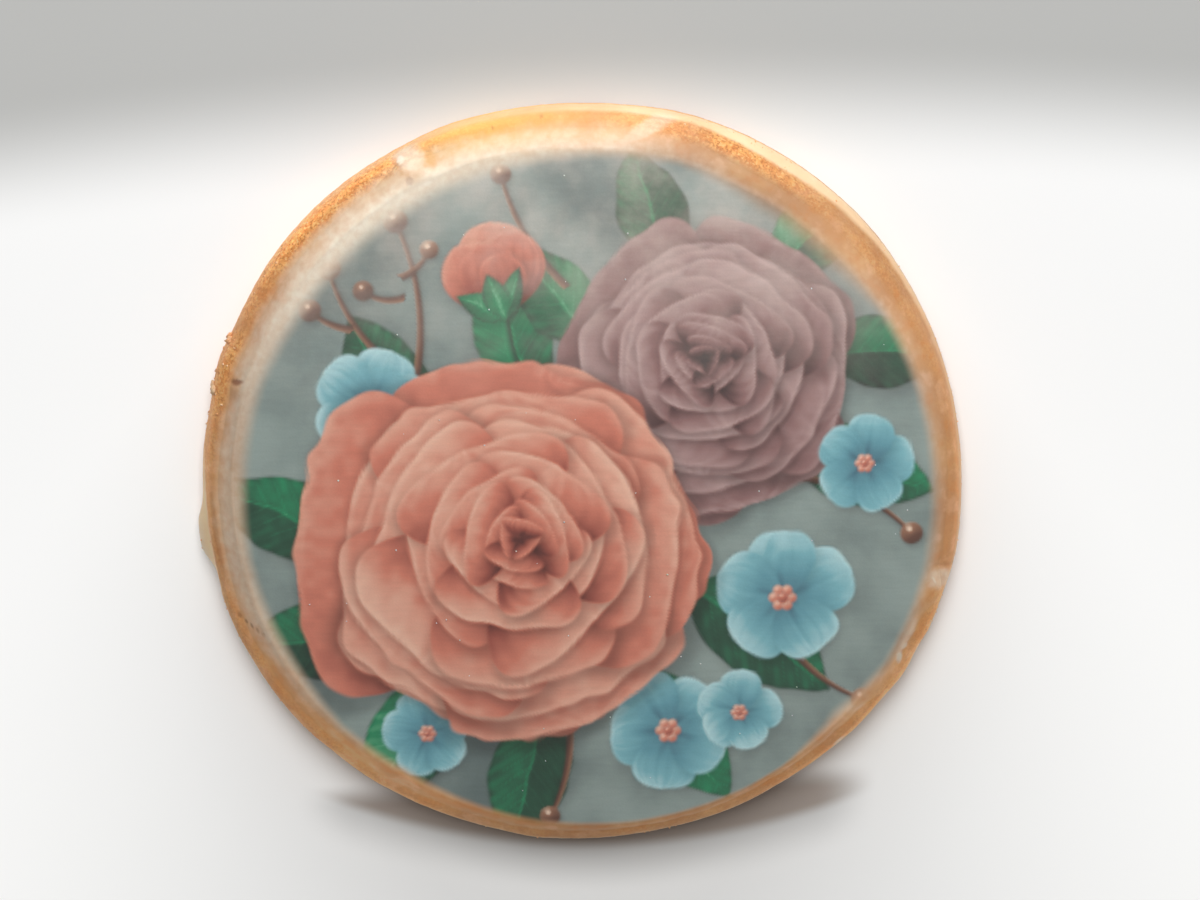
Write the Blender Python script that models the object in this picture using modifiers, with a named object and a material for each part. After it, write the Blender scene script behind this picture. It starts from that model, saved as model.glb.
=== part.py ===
"""A round iced cookie, lying flat with its iced side up.

It has three solids: the baked biscuit, the icing poured over it, and a round sheet of printed icing that lies
in a shallow bed in the icing. Lengths are in metres and angles in degrees, counted anticlockwise from +X as
seen from above. +Y is the top of the picture on the sheet. The origin is the middle of the flat underside.

Each solid starts as a true turned shape. The icing and the sheet are first made flat, then laid over the
biscuit's skin. Last, one rule moves the points of all three to the uneven outline that baking gives.
"""

import math

import bpy
import numpy as np

# Driving dimensions of the biscuit. The radius is that of its browned top edge.
COOKIE_RADIUS = 0.0395
BISCUIT_HEIGHT = 0.0060
SHOULDER_WIDTH = 0.0024
SHOULDER_DROP = 0.0020
FOOT_WIDTH = 0.0007
FOOT_HEIGHT = 0.0008

# The printed sheet lies a little low and to the right of the middle.
SHEET_RADIUS = 0.0361
SHEET_THICKNESS = 0.00035
SHEET_ROUNDING = 0.00008
SHEET_CENTRE = (0.0005, -0.0007)
SHEET_PROUD = 0.00003

# The icing is poured, so it thins towards its edge, and the browned rim stays bare outside it.
ICING_THICKNESS = 0.0010
ICING_REACH = 0.0382
ICING_EDGE_SHARE = 0.30
ICING_NOSE_SHARE = 0.55
MARGIN_HOLD = 0.05

FIT_GAP = 0.0003
BED_RADIUS = SHEET_RADIUS + FIT_GAP
FLAT_RADIUS = COOKIE_RADIUS - SHOULDER_WIDTH
STEADY_RADIUS = COOKIE_RADIUS - 0.0040
SEGMENTS = 120
SHOULDER_STEPS = 6
FOOT_STEPS = 3
TABLE_STEPS = 64

# The outline after baking: (waves round the edge, height, angle of a crest).
OUTLINE_WAVES = (
    (1, 0.00040, 154),
    (2, 0.00031, 0),
    (3, 0.00023, -15),
    (4, 0.00005, -42),
    (5, 0.00008, -4),
    (9, 0.00004, 61),
)
# Chips and lumps of the whole edge: (angle, half width, how far out, or in where negative).
EDGE_MARKS = (
    (338.5, 2.6, 0.00012),
    (331.5, 3.0, -0.00014),
    (162.0, 4.0, 0.00040),
    (202.0, 6.0, 0.00020),
    (228.0, 4.0, -0.00012),
    (262.0, 3.4, 0.00014),
)
# How far the pale side wall stands out below the browned top edge, all round and in places.
WALL_BULGE = 0.00025
WALL_MARKS = (
    (52.0, 27.0, 0.00070),
    (190.5, 5.2, 0.00105),
    (176.0, 8.0, 0.00020),
    (285.0, 30.0, 0.00012),
)
WALL_BULGE_TOP = 0.0046
WALL_BULGE_FULL = 0.0026

# Where the icing stops short: (angle, half width, how far short).
BARE_ARCS = (
    (146.0, 26.0, 0.00030),
    (62.0, 9.0, 0.00050),
    (312.0, 12.0, 0.00020),
)
# Where icing ran out over the edge: (angle, half width, how much further, how much thicker).
ICING_RUNS = (
    (78.0, 3.6, 0.0012, 0.45),
    (118.5, 3.6, 0.0008, 0.60),
    (343.0, 2.8, 0.0011, 0.45),
    (20.0, 14.0, 0.0005, 0.00),
    (325.0, 3.0, 0.0007, 0.25),
)
# The white margin, where the icing stays thick over half its way out: (angle, half width, share of the way).
THICK_MARGIN = (155.0, 62.0, 0.45)

# The hand-poured top isn't level: (waves along X, waves along Y, height, phase).
TOP_WAVES = (
    (1.1, 0.4, 0.00006, 40),
    (-0.7, 1.3, 0.00005, 110),
    (1.9, 1.6, 0.00003, 250),
)

CRUST_COLOUR = (0.60, 0.30, 0.10)
ICING_COLOUR = (0.80, 0.70, 0.56)
SHEET_COLOUR = (0.22, 0.27, 0.25)


def clear_scene():
    for old in list(bpy.data.objects):
        bpy.data.objects.remove(old, do_unlink=True)


def new_collection(name):
    collection = bpy.data.collections.new(name)
    bpy.context.scene.collection.children.link(collection)
    return collection


def finish(name, colour, roughness):
    material = bpy.data.materials.new(name)
    material.use_nodes = True
    shader = material.node_tree.nodes["Principled BSDF"]
    shader.inputs["Base Color"].default_value = (*colour, 1.0)
    shader.inputs["Roughness"].default_value = roughness
    shader.inputs["Metallic"].default_value = 0.0
    return material


def hump(angle, centre, half_width):
    """1 at the centre angle, falling smoothly to nearly 0 at twice the half width on both sides."""
    apart = (angle - centre + 180.0) % 360.0 - 180.0
    return np.exp(-((apart / half_width) ** 2))


def ease(share):
    """0 to 1 with flat ends."""
    share = np.clip(share, 0.0, 1.0)
    return share * share * (3.0 - 2.0 * share)


# ---- The biscuit's skin: the line from the middle of its top, over the shoulder and down the wall. ----

_turns = np.linspace(0.0, math.pi / 2, TABLE_STEPS)
_shoulder_r = FLAT_RADIUS + SHOULDER_WIDTH * np.sin(_turns)
_shoulder_z = BISCUIT_HEIGHT - SHOULDER_DROP * (1.0 - np.cos(_turns))
_steps = np.hypot(np.diff(_shoulder_r), np.diff(_shoulder_z))
_shoulder_s = FLAT_RADIUS + np.concatenate(([0.0], np.cumsum(_steps)))
WALL_START = _shoulder_s[-1]


def skin(along):
    """Radius and height of the skin at that distance along it, and the skin's normal there."""
    turn = np.interp(along, _shoulder_s, _turns)
    radius = np.minimum(along, FLAT_RADIUS) + SHOULDER_WIDTH * np.sin(turn)
    height = BISCUIT_HEIGHT - SHOULDER_DROP * (1.0 - np.cos(turn))
    height = height - np.maximum(along - WALL_START, 0.0)
    out = SHOULDER_DROP * np.sin(turn)
    up = SHOULDER_WIDTH * np.cos(turn)
    size = np.hypot(out, up)
    return radius, height, out / size, up / size


# ---- How the cookie departs from a turned shape. ----


def outline(angle):
    """How far the browned edge stands out from a true circle."""
    out = sum(high * np.cos(np.radians(n * (angle - at))) for n, high, at in OUTLINE_WAVES)
    return out + sum(high * hump(angle, at, wide) for at, wide, high in EDGE_MARKS)


def wall_bulge(angle):
    """How much further out the pale wall stands."""
    return WALL_BULGE + sum(high * hump(angle, at, wide) for at, wide, high in WALL_MARKS)


def top_swell(x, y):
    """How far the top stands above level."""
    return sum(
        high * np.sin(2 * math.pi * (nx * x + ny * y) / (2 * COOKIE_RADIUS) + math.radians(at))
        for nx, ny, high, at in TOP_WAVES
    )


def icing_edge(angle):
    """Distance along the skin at which the icing ends."""
    short = sum(far * hump(angle, at, wide) for at, wide, far in BARE_ARCS)
    further = sum(far * hump(angle, at, wide) for at, wide, far, _ in ICING_RUNS)
    return ICING_REACH - short + further


def icing_share(out_share, angle):
    """The icing's thickness as a share of its full thickness, from the bed's rim, 0, to its edge, 1."""
    at, wide, hold = THICK_MARGIN
    start = MARGIN_HOLD + hold * hump(angle, at, wide)
    runs = sum(thick * hump(angle, at, wide) for at, wide, _, thick in ICING_RUNS)
    edge = ICING_EDGE_SHARE + runs
    return 1.0 + (edge - 1.0) * ease((out_share - start) / (1.0 - start))


# ---- Moving a mesh's points. ----


def polar(points):
    angle = np.degrees(np.arctan2(points[:, 1], points[:, 0]))
    return np.hypot(points[:, 0], points[:, 1]), angle


def from_polar(radius, angle, height):
    turn = np.radians(angle)
    return np.column_stack((radius * np.cos(turn), radius * np.sin(turn), height))


def move_points(mesh, rule):
    points = np.zeros(len(mesh.vertices) * 3)
    mesh.vertices.foreach_get("co", points)
    points = rule(points.reshape(-1, 3))
    mesh.vertices.foreach_set("co", points.ravel())
    mesh.update()


def pour(points):
    """Turns the round plate, whose bed is in its middle, into the poured icing, still laid out flat.

    The bed moves to the sheet's place. The ring outside it, one COOKIE_RADIUS wide before this, is fitted
    between the bed's rim and the icing's edge, and thins on the way out.
    """
    radius, angle = polar(points)
    out_share = np.clip((radius - BED_RADIUS) / COOKIE_RADIUS, 0.0, 1.0)
    inner = np.minimum(radius, BED_RADIUS) * (1.0 - out_share)
    moved = from_polar(inner + icing_edge(angle) * out_share, angle, points[:, 2])
    moved[:, 0] += SHEET_CENTRE[0] * (1.0 - out_share)
    moved[:, 1] += SHEET_CENTRE[1] * (1.0 - out_share)
    thickness = (points[:, 2] - FIT_GAP) * icing_share(out_share, angle)
    moved[:, 2] = np.where(out_share > 0.0, FIT_GAP + thickness, points[:, 2])
    return moved


def place_sheet(points):
    return points + np.array((*SHEET_CENTRE, 0.0))


def lay_on_skin(points):
    """Wraps a flat shape over the biscuit: the radius becomes distance along the skin, the height stays."""
    along, angle = polar(points)
    radius, height, out, up = skin(along)
    return from_polar(radius + out * points[:, 2], angle, height + up * points[:, 2])


def bake(points):
    """Takes true turned shapes to the cookie's own outline, wall and unlevel top."""
    radius, angle = polar(points)
    height = points[:, 2]
    near_edge = ease((radius - STEADY_RADIUS) / (COOKIE_RADIUS - STEADY_RADIUS))
    below_edge = ease((WALL_BULGE_TOP - height) / (WALL_BULGE_TOP - WALL_BULGE_FULL))
    radius = radius + (outline(angle) + wall_bulge(angle) * below_edge) * near_edge
    swell = top_swell(points[:, 0], points[:, 1]) * ease(height / BISCUIT_HEIGHT)
    return from_polar(radius, angle, height + swell)


# ---- Making the solids. ----


def evaluated_mesh(obj, name):
    graph = bpy.context.evaluated_depsgraph_get()
    mesh = bpy.data.meshes.new_from_object(obj.evaluated_get(graph))
    mesh.name = name
    return mesh


def turned(name, profile, collection, *rules):
    """A solid of revolution whose points are then moved by each rule in turn.

    The profile, as (radius, height), runs from the top of the axis down the outside to its foot.
    """
    line = bpy.data.meshes.new(name + "_profile")
    points = [(radius, 0.0, height) for radius, height in profile]
    line.from_pydata(points, [(i, i + 1) for i in range(len(points) - 1)], [])
    turning = bpy.data.objects.new(name + "_profile", line)
    collection.objects.link(turning)
    screw = turning.modifiers.new("Turn", "SCREW")
    screw.axis = "Z"
    screw.steps = SEGMENTS
    screw.render_steps = SEGMENTS
    screw.use_merge_vertices = True
    screw.merge_threshold = 0.00001
    mesh = evaluated_mesh(turning, name)
    bpy.data.objects.remove(turning, do_unlink=True)
    for rule in rules:
        move_points(mesh, rule)
    solid = bpy.data.objects.new(name, mesh)
    collection.objects.link(solid)
    return solid


def make_biscuit(collection):
    """Flat top, rounded browned shoulder, bulging wall, small rounded foot and flat underside."""
    flat = [(radius, BISCUIT_HEIGHT) for radius in np.linspace(0.0, FLAT_RADIUS, 4)]
    shoulder = [skin(s)[:2] for s in np.linspace(FLAT_RADIUS, WALL_START, SHOULDER_STEPS + 1)[1:]]
    wall = [(COOKIE_RADIUS, height) for height in (0.0034, 0.0027, 0.0018)]
    foot = [
        (COOKIE_RADIUS - FOOT_WIDTH * (1.0 - math.cos(t)), FOOT_HEIGHT * (1.0 - math.sin(t)))
        for t in np.linspace(0.0, math.pi / 2, FOOT_STEPS + 1)
    ]
    profile = [*flat, *shoulder, *wall, *foot, (COOKIE_RADIUS / 2, 0.0), (0.0, 0.0)]
    return turned("biscuit", profile, collection, bake)


def make_icing(collection):
    """A round plate with the bed for the printed sheet let into its top."""
    top = FIT_GAP + ICING_THICKNESS
    floor = top + SHEET_PROUD - SHEET_THICKNESS - FIT_GAP
    nose = FIT_GAP + ICING_NOSE_SHARE * ICING_THICKNESS
    inner = np.linspace(0.0, BED_RADIUS, 4)
    outer = [BED_RADIUS + share * COOKIE_RADIUS for share in (0.15, 0.32, 0.5, 0.66, 0.8, 0.92)]
    edge = BED_RADIUS + COOKIE_RADIUS
    profile = [(radius, floor) for radius in inner]
    profile += [(radius, top) for radius in (BED_RADIUS, *outer)]
    profile += [(edge, nose), (edge, FIT_GAP)]
    profile += [(radius, FIT_GAP) for radius in (outer[2], *reversed(inner))]
    return turned("icing", profile, collection, pour, lay_on_skin, bake)


def make_sheet(collection):
    """A thin round plate with a slightly rounded edge."""
    top = FIT_GAP + ICING_THICKNESS + SHEET_PROUD
    low = top - SHEET_THICKNESS
    inner = np.linspace(0.0, SHEET_RADIUS - SHEET_ROUNDING, 4)
    profile = [(radius, top) for radius in inner]
    profile += [(SHEET_RADIUS, top - SHEET_ROUNDING), (SHEET_RADIUS, low + SHEET_ROUNDING)]
    profile += [(radius, low) for radius in reversed(inner)]
    return turned("printed_sheet", profile, collection, place_sheet, lay_on_skin, bake)


def dress(solid, material):
    solid.data.materials.clear()
    solid.data.materials.append(material)
    solid.data.shade_smooth()
    solid.data.set_sharp_from_angle(angle=math.radians(35.0))


def main():
    clear_scene()
    cookie = new_collection("iced_cookie")
    dress(make_biscuit(cookie), finish("baked_crust", CRUST_COLOUR, 0.8))
    dress(make_icing(cookie), finish("white_icing", ICING_COLOUR, 0.4))
    dress(make_sheet(cookie), finish("printed_icing", SHEET_COLOUR, 0.5))


main()
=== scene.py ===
"""The looks of a round iced cookie that lies flat, seen from above.

Lengths are in metres and angles in degrees, counted anticlockwise from +X as seen from above. The shapes
follow the same rules as the solids, at a much finer step, so every piece sits where its solid does.
"""

import math
from itertools import product

import bmesh
import bpy
import numpy as np
from mathutils import Matrix, Vector


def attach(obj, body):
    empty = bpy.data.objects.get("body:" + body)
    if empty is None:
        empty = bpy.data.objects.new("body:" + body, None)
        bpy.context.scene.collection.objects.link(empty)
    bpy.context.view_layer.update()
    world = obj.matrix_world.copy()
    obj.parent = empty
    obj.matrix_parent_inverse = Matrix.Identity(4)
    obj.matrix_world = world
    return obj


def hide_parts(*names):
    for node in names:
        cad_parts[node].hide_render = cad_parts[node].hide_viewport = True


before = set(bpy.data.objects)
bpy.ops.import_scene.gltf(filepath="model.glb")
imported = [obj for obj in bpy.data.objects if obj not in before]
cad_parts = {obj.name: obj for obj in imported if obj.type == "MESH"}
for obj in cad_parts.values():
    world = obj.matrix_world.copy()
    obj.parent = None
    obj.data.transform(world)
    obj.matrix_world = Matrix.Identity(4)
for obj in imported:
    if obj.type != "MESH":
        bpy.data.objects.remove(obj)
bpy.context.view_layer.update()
scene = bpy.context.scene

# ---- Sizes. The first block repeats the solids' own. ----

COOKIE_RADIUS = 0.0395
BISCUIT_HEIGHT = 0.006
SHOULDER_WIDTH = 0.0024
SHOULDER_DROP = 0.002
FOOT_WIDTH = 0.0007
FOOT_HEIGHT = 0.0008
SHEET_RADIUS = 0.0361
SHEET_CENTRE = (0.0005, -0.0007)
ICING_START = SHEET_RADIUS - 0.00005
ICING_TOP = 0.0013
ICING_REACH = 0.0382
EDGE_SHARE = 0.03
FLAT_RADIUS = COOKIE_RADIUS - SHOULDER_WIDTH
STEADY_RADIUS = COOKIE_RADIUS - 0.004

# Waves of the outline: how many go round, how high, the angle of a crest.
OUTLINE_WAVES = (
    (1, 0.0004, 154), (2, 0.00031, 0), (3, 0.00023, -15), (4, 0.00005, -42), (5, 0.00008, -4),
    (9, 0.00004, 61),
)
# Changes to the edge, then to the wall below it: angle, half width, how far out.
EDGE_MARKS = (
    (338.5, 2.6, 0.00012), (331.5, 3, -0.00014), (162, 4, 0.0004), (202, 6, 0.0002), (228, 4, -0.00012),
    (262, 3.4, 0.00014),
)
WALL_BULGE = 0.00025
WALL_MARKS = (
    (52, 27, 0.0007), (190.5, 5.2, 0.00105), (176, 8, 0.0002), (285, 30, 0.00012),
)
WALL_BULGE_TOP = 0.0046
WALL_BULGE_FULL = 0.0026
# Where the icing ends short, and where it ran further: angle, half width, how far, how much thicker.
BARE_ARCS = (
    (146, 26, 0.0003), (62, 9, 0.0005), (312, 12, 0.0002),
)
ICING_RUNS = (
    (78, 3.6, 0.0012, 0.45), (118.5, 3.6, 0.0008, 0.6), (343, 2.8, 0.0011, 0.45), (20, 14, 0.0005, 0),
    (325, 3, 0.0007, 0.25),
)
# Where the margin stays thick: angle, half width, over what share of it.
THICK_MARGIN = (155, 62, 0.45)
# Where the icing's margin turns down to its end, as shares of its width: start and length.
NOSE_START = 0.9
NOSE_LENGTH = 0.1
# Waves of the top: how many along x and along y, how high, where they start.
TOP_WAVES = (
    (1.1, 0.4, 0.00006, 40), (-0.7, 1.3, 0.00005, 110), (1.9, 1.6, 0.00003, 250),
)

# The printed sheet's edge. Its lip runs on beyond the solid's radius and stands just proud of the icing,
# until it dives below it. The outermost part of the lip is drawn in finer rings.
SHEET_LIP = 0.0021
SHEET_PROUD = 0.000025
DIVE_START = 0.00055
DIVE_LENGTH = 0.0013
DIVE_DEPTH = 0.00008
FINE_LIP = 0.001
# How much lower the icing is where the sheet lies, and how far the icing reaches into the biscuit.
BED_DEPTH = 0.0004
ICING_ROOT = 0.0001
# Streaks, patches and cracks show in the biscuit's own shape above this height.
MARKS_FROM = 0.0045
# Fine relief, how high and how wide: the crust's grain, pits and swells, the icing's swells, and how the
# icing's edge and the sheet's wander.
CRUST_GRAIN = (0.00007, 0.00055)
CRUST_PITS = (0.00006, 0.0009)
CRUST_SWELLS = (0.00004, 0.0022)
ICING_SWELLS = (0.00002, 0.0025)
ICING_WANDER = (0.00022, 0.0028)
SHEET_WANDER = (0.00015, 0.0055)
# The crust's relief starts at the foot's height and at the steady radius, and rises over these lengths.
RELIEF_FOOT = (0.0001, 0.0006)
RELIEF_RISE = 0.001

# The camera. The photograph is 1200 pixels wide, at this many pixels to a metre of cookie.
PICTURE_WIDTH = 1200
PICTURE_SCALE = 9475
CAMERA_DISTANCE = 0.6
CAMERA_TILT = 12
CAMERA_SIDE = 85
CAMERA_AIM = (0, 0, 0.0035)
AIM_RIGHT = 0.00171
AIM_UP = 0.00321
SENSOR_WIDTH = 36

# The shine of biscuit and icing, and how far red, green and blue light wander below their surface.
SOFT_FOOD = {
    "Specular_IOR_Level": 0.4,
    "Subsurface_Weight": 0.2,
    "Subsurface_Scale": 0.001,
    "Subsurface_Radius": (0.7, 0.5, 0.4),
}

# The floor's half size, and its tones, darker grey towards its far end: from where to where each turns into
# the next, and how much these lines bend and slant.
FLOOR_HALF = 0.8
FLOOR_NEAR = (0.82, 0.82, 0.81, 1)
FLOOR_FURTHER = (0.74, 0.74, 0.735, 1)
FAR_GREY = (0.38, 0.38, 0.37, 1)
FLOOR_TURN = (-0.045, 0.03)
FAR_GREY_TURN = (0.0312, 0.0462)
TONE_BEND = 0.95
TONE_SLANT = 0.042
# The shade at the cookie's near side: its tone, the near edges of its core and of its haze and their bend,
# its far edge and that one's slant, and how it ends at both sides, by the square of the distance.
SHADE = (0.26, 0.2, 0.16, 1)
SHADE_CORE = (-0.0417, -0.0401)
SHADE_HAZE = (-0.0465, -0.04)
SHADE_BEND = 6.8
SHADE_FAR = (-0.0328, -0.0358)
SHADE_SLANT = 0.05
SHADE_SIDES = (0.001, 0.0006)

# How strong the light is on the rim's left side, where its colours were judged, and on the print.
RIM_LIGHT = 0.62
TOP_LIGHT = 0.72

# How the print ends round the sheet: angle, how far beyond the sheet's edge it is half gone, and over
# what width it fades, in millimetres.
PRINT_ENDS = (
    (0, 0.25, 1.9), (20, 0.3, 1.8), (32, 0.35, 1.7), (45, -0.35, 3), (60, -0.3, 2.8), (75, 0.45, 1.5),
    (90, 0.05, 1.9), (105, -0.25, 2.2), (120, -0.45, 2.6), (137, -0.45, 2.5), (150, -0.25, 2.4),
    (162, 0.1, 2), (175, 0.1, 2), (190, 0.3, 1.8), (200, 0.15, 1.8), (212, 0, 1.7), (224, 0.25, 1.7),
    (237, -0.25, 1.6), (255, -0.15, 1.2), (305, -0.05, 0.8), (318, -0.7, 2.2), (330, 0.2, 1.5),
    (345, 0.25, 1.6),
)

# The flower print, in millimetres from the middle of the printed sheet. Its light comes from this side.
PRINT_LIGHT = 118
PRINT_SOFTNESS = 0.42
# x, y, the way it points, length, half width, how light, bend.
LEAVES = (
    (-24, -6, 152, 17, 4.4, 0.42, 0.1), (-20, -14, 195, 16, 4.6, 0.3, -0.1),
    (-15, -21, 232, 15, 4.6, 0.48, 0.12), (-5, -24, 262, 15, 4.4, 0.34, -0.08),
    (5, -19, 300, 17, 4.6, 0.56, 0.1), (11, -10, 328, 18, 4.8, 0.4, -0.1),
    (-17, 6, 128, 15, 4.4, 0.36, -0.12), (-6, 11, 104, 14, 4, 0.5, 0.1), (22, 6, -28, 15, 4.2, 0.5, 0.12),
    (25, 15, 8, 13, 4, 0.34, -0.12), (20, 24, 48, 12, 3.8, 0.52, 0.1), (8, 25, 100, 12, 3.8, 0.36, 0.12),
    (1, 17, 140, 13, 3.8, 0.52, -0.12),
)
# From x, y to x, y, and how far the stem sags.
TWIGS = (
    (-18, 12, -27, 24, 1.5), (-18, 12, -20, 29, -1.4), (22, 2, 34, -4, 1.2), (-2, 22, -9, 34, 1),
    (-2, -24, -4, -35, 0.8), (20, -14, 29, -22, -1.2), (-24.5, 17.5, -29, 19.5, 0.4),
    (-19, 21, -23.4, 21.6, 0.6), (-19.6, 23, -16.5, 26, -0.5),
)
# x, y, radius, how light.
BERRIES = (
    (-27, 24, 1.3, 0.55), (-23.4, 21.6, 1.1, 0.4), (-29, 19.5, 1.2, 0.45), (-20, 29, 1.3, 0.5),
    (-16.5, 26, 1, 0.6), (34, -4, 1.2, 0.5), (-9, 34, 1.1, 0.5), (-4, -35, 1.1, 0.5),
    (29, -22, 1.2, 0.45),
)
# x, y, size, turn, how light.
SMALL_FLOWERS = (
    (20.5, -11, 7.2, 20, 0.55), (8.5, -25.5, 6.6, 50, 0.5), (-22.5, 9.5, 6.4, 75, 0.58),
    (29, 3.5, 5, 5, 0.45), (-17, -26, 4.6, 30, 0.52), (16, -23.5, 4.4, 10, 0.6),
)
# The rings of petals of a full bloom, outermost first: share of its size, petals, how light at the base
# and at the tip, how blunt the tip.
BLOOM_RINGS = (
    (1, 5, 0.1, 0.62, 0.34), (0.93, 5, 0.08, 0.72, 0.36), (0.82, 5, 0.05, 0.78, 0.36),
    (0.7, 5, 0.04, 0.82, 0.38), (0.58, 4, 0.03, 0.8, 0.4), (0.46, 4, 0.02, 0.84, 0.42),
    (0.35, 4, 0, 0.8, 0.42), (0.25, 3, 0, 0.78, 0.46), (0.17, 3, 0, 0.74, 0.5), (0.1, 3, 0, 0.66, 0.5),
)
# Ink, x, y, size, which way its heart leans, and which of the chance numbers it takes.
DUSKY_BLOOM = ("dusk", 13, 13.5, 14.5, (-1, 1.2), 3)
PEACH_BLOOM = ("peach", -8.5, -6.5, 20, (1.5, 2), 1)
# x, y, chance numbers. Then the turn and length of its petals, and of the small leaves that hold them.
BUD = (-8.6, 19.5, 900)
BUD_PETALS = ((100, 9.5), (128, 8.5), (82, 8.5), (112, 7.5), (95, 6))
BUD_LEAVES = ((150, 5.5), (68, 5.5), (108, 5))
# Each ink's colours as they look in the photograph's light, from darkest to lightest.
INKS = {
    "peach": ((0, (84, 38, 34)), (0.28, (142, 72, 60)), (0.62, (190, 114, 94)), (1, (226, 170, 148))),
    "dusk": ((0, (40, 28, 32)), (0.3, (86, 58, 58)), (0.62, (130, 96, 94)), (1, (176, 150, 146))),
    "leaf": ((0, (14, 32, 28)), (0.35, (30, 76, 56)), (0.65, (30, 124, 84)), (1, (112, 174, 136))),
    "sky": ((0, (56, 92, 108)), (0.4, (88, 140, 152)), (0.7, (112, 164, 172)), (1, (168, 200, 202))),
    "twig": ((0, (38, 26, 24)), (0.4, (92, 60, 48)), (0.7, (140, 100, 78)), (1, (220, 190, 168))),
}

# Sugar crystals on the print, in millimetres from the middle of the cookie. More are strewn by chance:
# how many, how far out in metres, and how large all of them are.
BRIGHT_CRYSTALS = (
    (-9.8, 19), (-12.4, 26.9), (-8.2, 27.7), (12.4, -18.9), (31.4, 15.4), (34, -2.2), (32.8, -4.8),
    (-13, -16.5), (-12, -20.4), (-6.4, -32.9), (30.6, 2.6), (-4, -29.6),
)
STREWN_CRYSTALS = 34
CRYSTAL_SPREAD = 0.034
SMALLEST_CRYSTAL = 0.00007
CRYSTAL_RANGE = 0.00005
# Loose crumbs on the rim: angle, half width of the patch, how many, from and to height and the largest
# size in millimetres. The smallest are everywhere the same.
SMALLEST_CRUMB = 0.06
CRUMB_PATCHES = (
    (158.1, 0.5, 14, 1.6, 4.6, 0.55), (165.8, 0.6, 14, 1.6, 4.8, 0.5), (164, 9, 40, 1.5, 5.6, 0.2),
    (140, 14, 40, 2, 5.6, 0.18), (66, 9, 30, 2.5, 5.6, 0.18), (190.5, 4, 8, 1.2, 4.6, 0.14),
    (337, 3.5, 12, 3, 5.2, 0.2), (250, 60, 60, 0.6, 4.4, 0.16), (20, 60, 50, 0.6, 3.6, 0.14),
)

# How finely the pieces are made.
SHEET_RINGS = 170
ROUND_STEPS = 1440
SKIN_STEP = 0.00014
WALL_STEP = 0.00016
CURVE_RINGS = 8
FLAT_RINGS = 6
UNDER_RINGS = 14
MARGIN_RINGS = 34
INNERMOST = 0.004
SMALL = 1e-9

# ---- Finish round the rim, by angle. Distances are millimetres in from the browned edge. ----

# Angle, where the white of the icing starts, where it is full, how white it gets, and how light the icing
# is next to the print, which is painted light and shade, lighter or darker as the light falls there.
WHITE_ROUND = (
    (3, 1.5, 3.6, 0.32, 0.95), (17, 1.1, 3.4, 0.42, 1), (32, 1.1, 3.4, 0.34, 0.92),
    (47, 1.2, 3.8, 0.16, 0.93), (61, 1, 3.6, 0.08, 0.82), (72, 0.8, 3.2, 0.24, 0.75),
    (80, 0.8, 3.4, 0.52, 0.8), (90, 0.9, 4, 0.82, 0.87), (105, 0.8, 3.6, 0.92, 0.88),
    (119, 0.4, 3.2, 1, 1), (134, 0.9, 3.6, 1, 1), (148, 1.2, 3.7, 0.94, 0.97),
    (163, 1.2, 2.9, 0.72, 0.82), (178, 0.6, 2.3, 0.55, 0.76), (193, 0.6, 2.2, 0.62, 0.88),
    (208, 1.7, 3.6, 0.72, 0.92), (223, 2.3, 3.8, 0.6, 0.92), (238, 2.8, 4.2, 0.35, 0.95),
    (257, 2.6, 4.2, 0.12, 1), (302, 2.5, 3.9, 0.15, 1), (320, 1.5, 3.3, 0.5, 1),
    (348, 1.6, 3.6, 0.38, 0.92),
)
# Angle, how open the grain of the browned band is, how light the crust is near the edge, and further in,
# and how much lighter the outermost half millimetre is. These are partly its baked tone and partly painted
# light and shade round the rim, with a painted highlight along the outermost edge.
CRUST_ROUND = (
    (3, 0.15, 0.98, 0.94, 1.25), (27, 0.2, 0.95, 0.9, 0.95), (36, 0.5, 0.84, 0.86, 0.9),
    (46, 0.2, 0.8, 0.82, 0.95), (56, 0.8, 0.82, 0.66, 1), (72, 1, 0.88, 0.72, 1),
    (78, 0.4, 1.02, 0.88, 1), (90, 0.12, 1.2, 1.16, 1), (111, 0.2, 1.06, 1, 1.2),
    (120, 0.9, 0.94, 0.94, 1.25), (139, 1, 0.94, 0.94, 1.4), (150, 1, 0.95, 0.95, 1.15),
    (164, 1, 0.95, 0.95, 1.2), (171, 0.45, 0.98, 1, 1.3), (182, 0.15, 1, 1.05, 1.25),
    (194, 0.25, 1.08, 1.15, 0.9), (203, 0.35, 1.15, 1.25, 0.9), (218, 0.3, 1.25, 1.35, 1),
    (240, 0.25, 1.2, 1.4, 1.2), (257, 0.2, 0.92, 1.04, 1), (270, 0.2, 0.84, 0.94, 1),
    (290, 0.2, 0.88, 1.02, 1), (304, 0.3, 1.1, 1.12, 1.2), (316, 0.3, 1.16, 1.24, 1.3),
    (325, 0.35, 1.2, 1.15, 1.25), (347, 0.22, 1.06, 1.02, 1.15),
)
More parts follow.
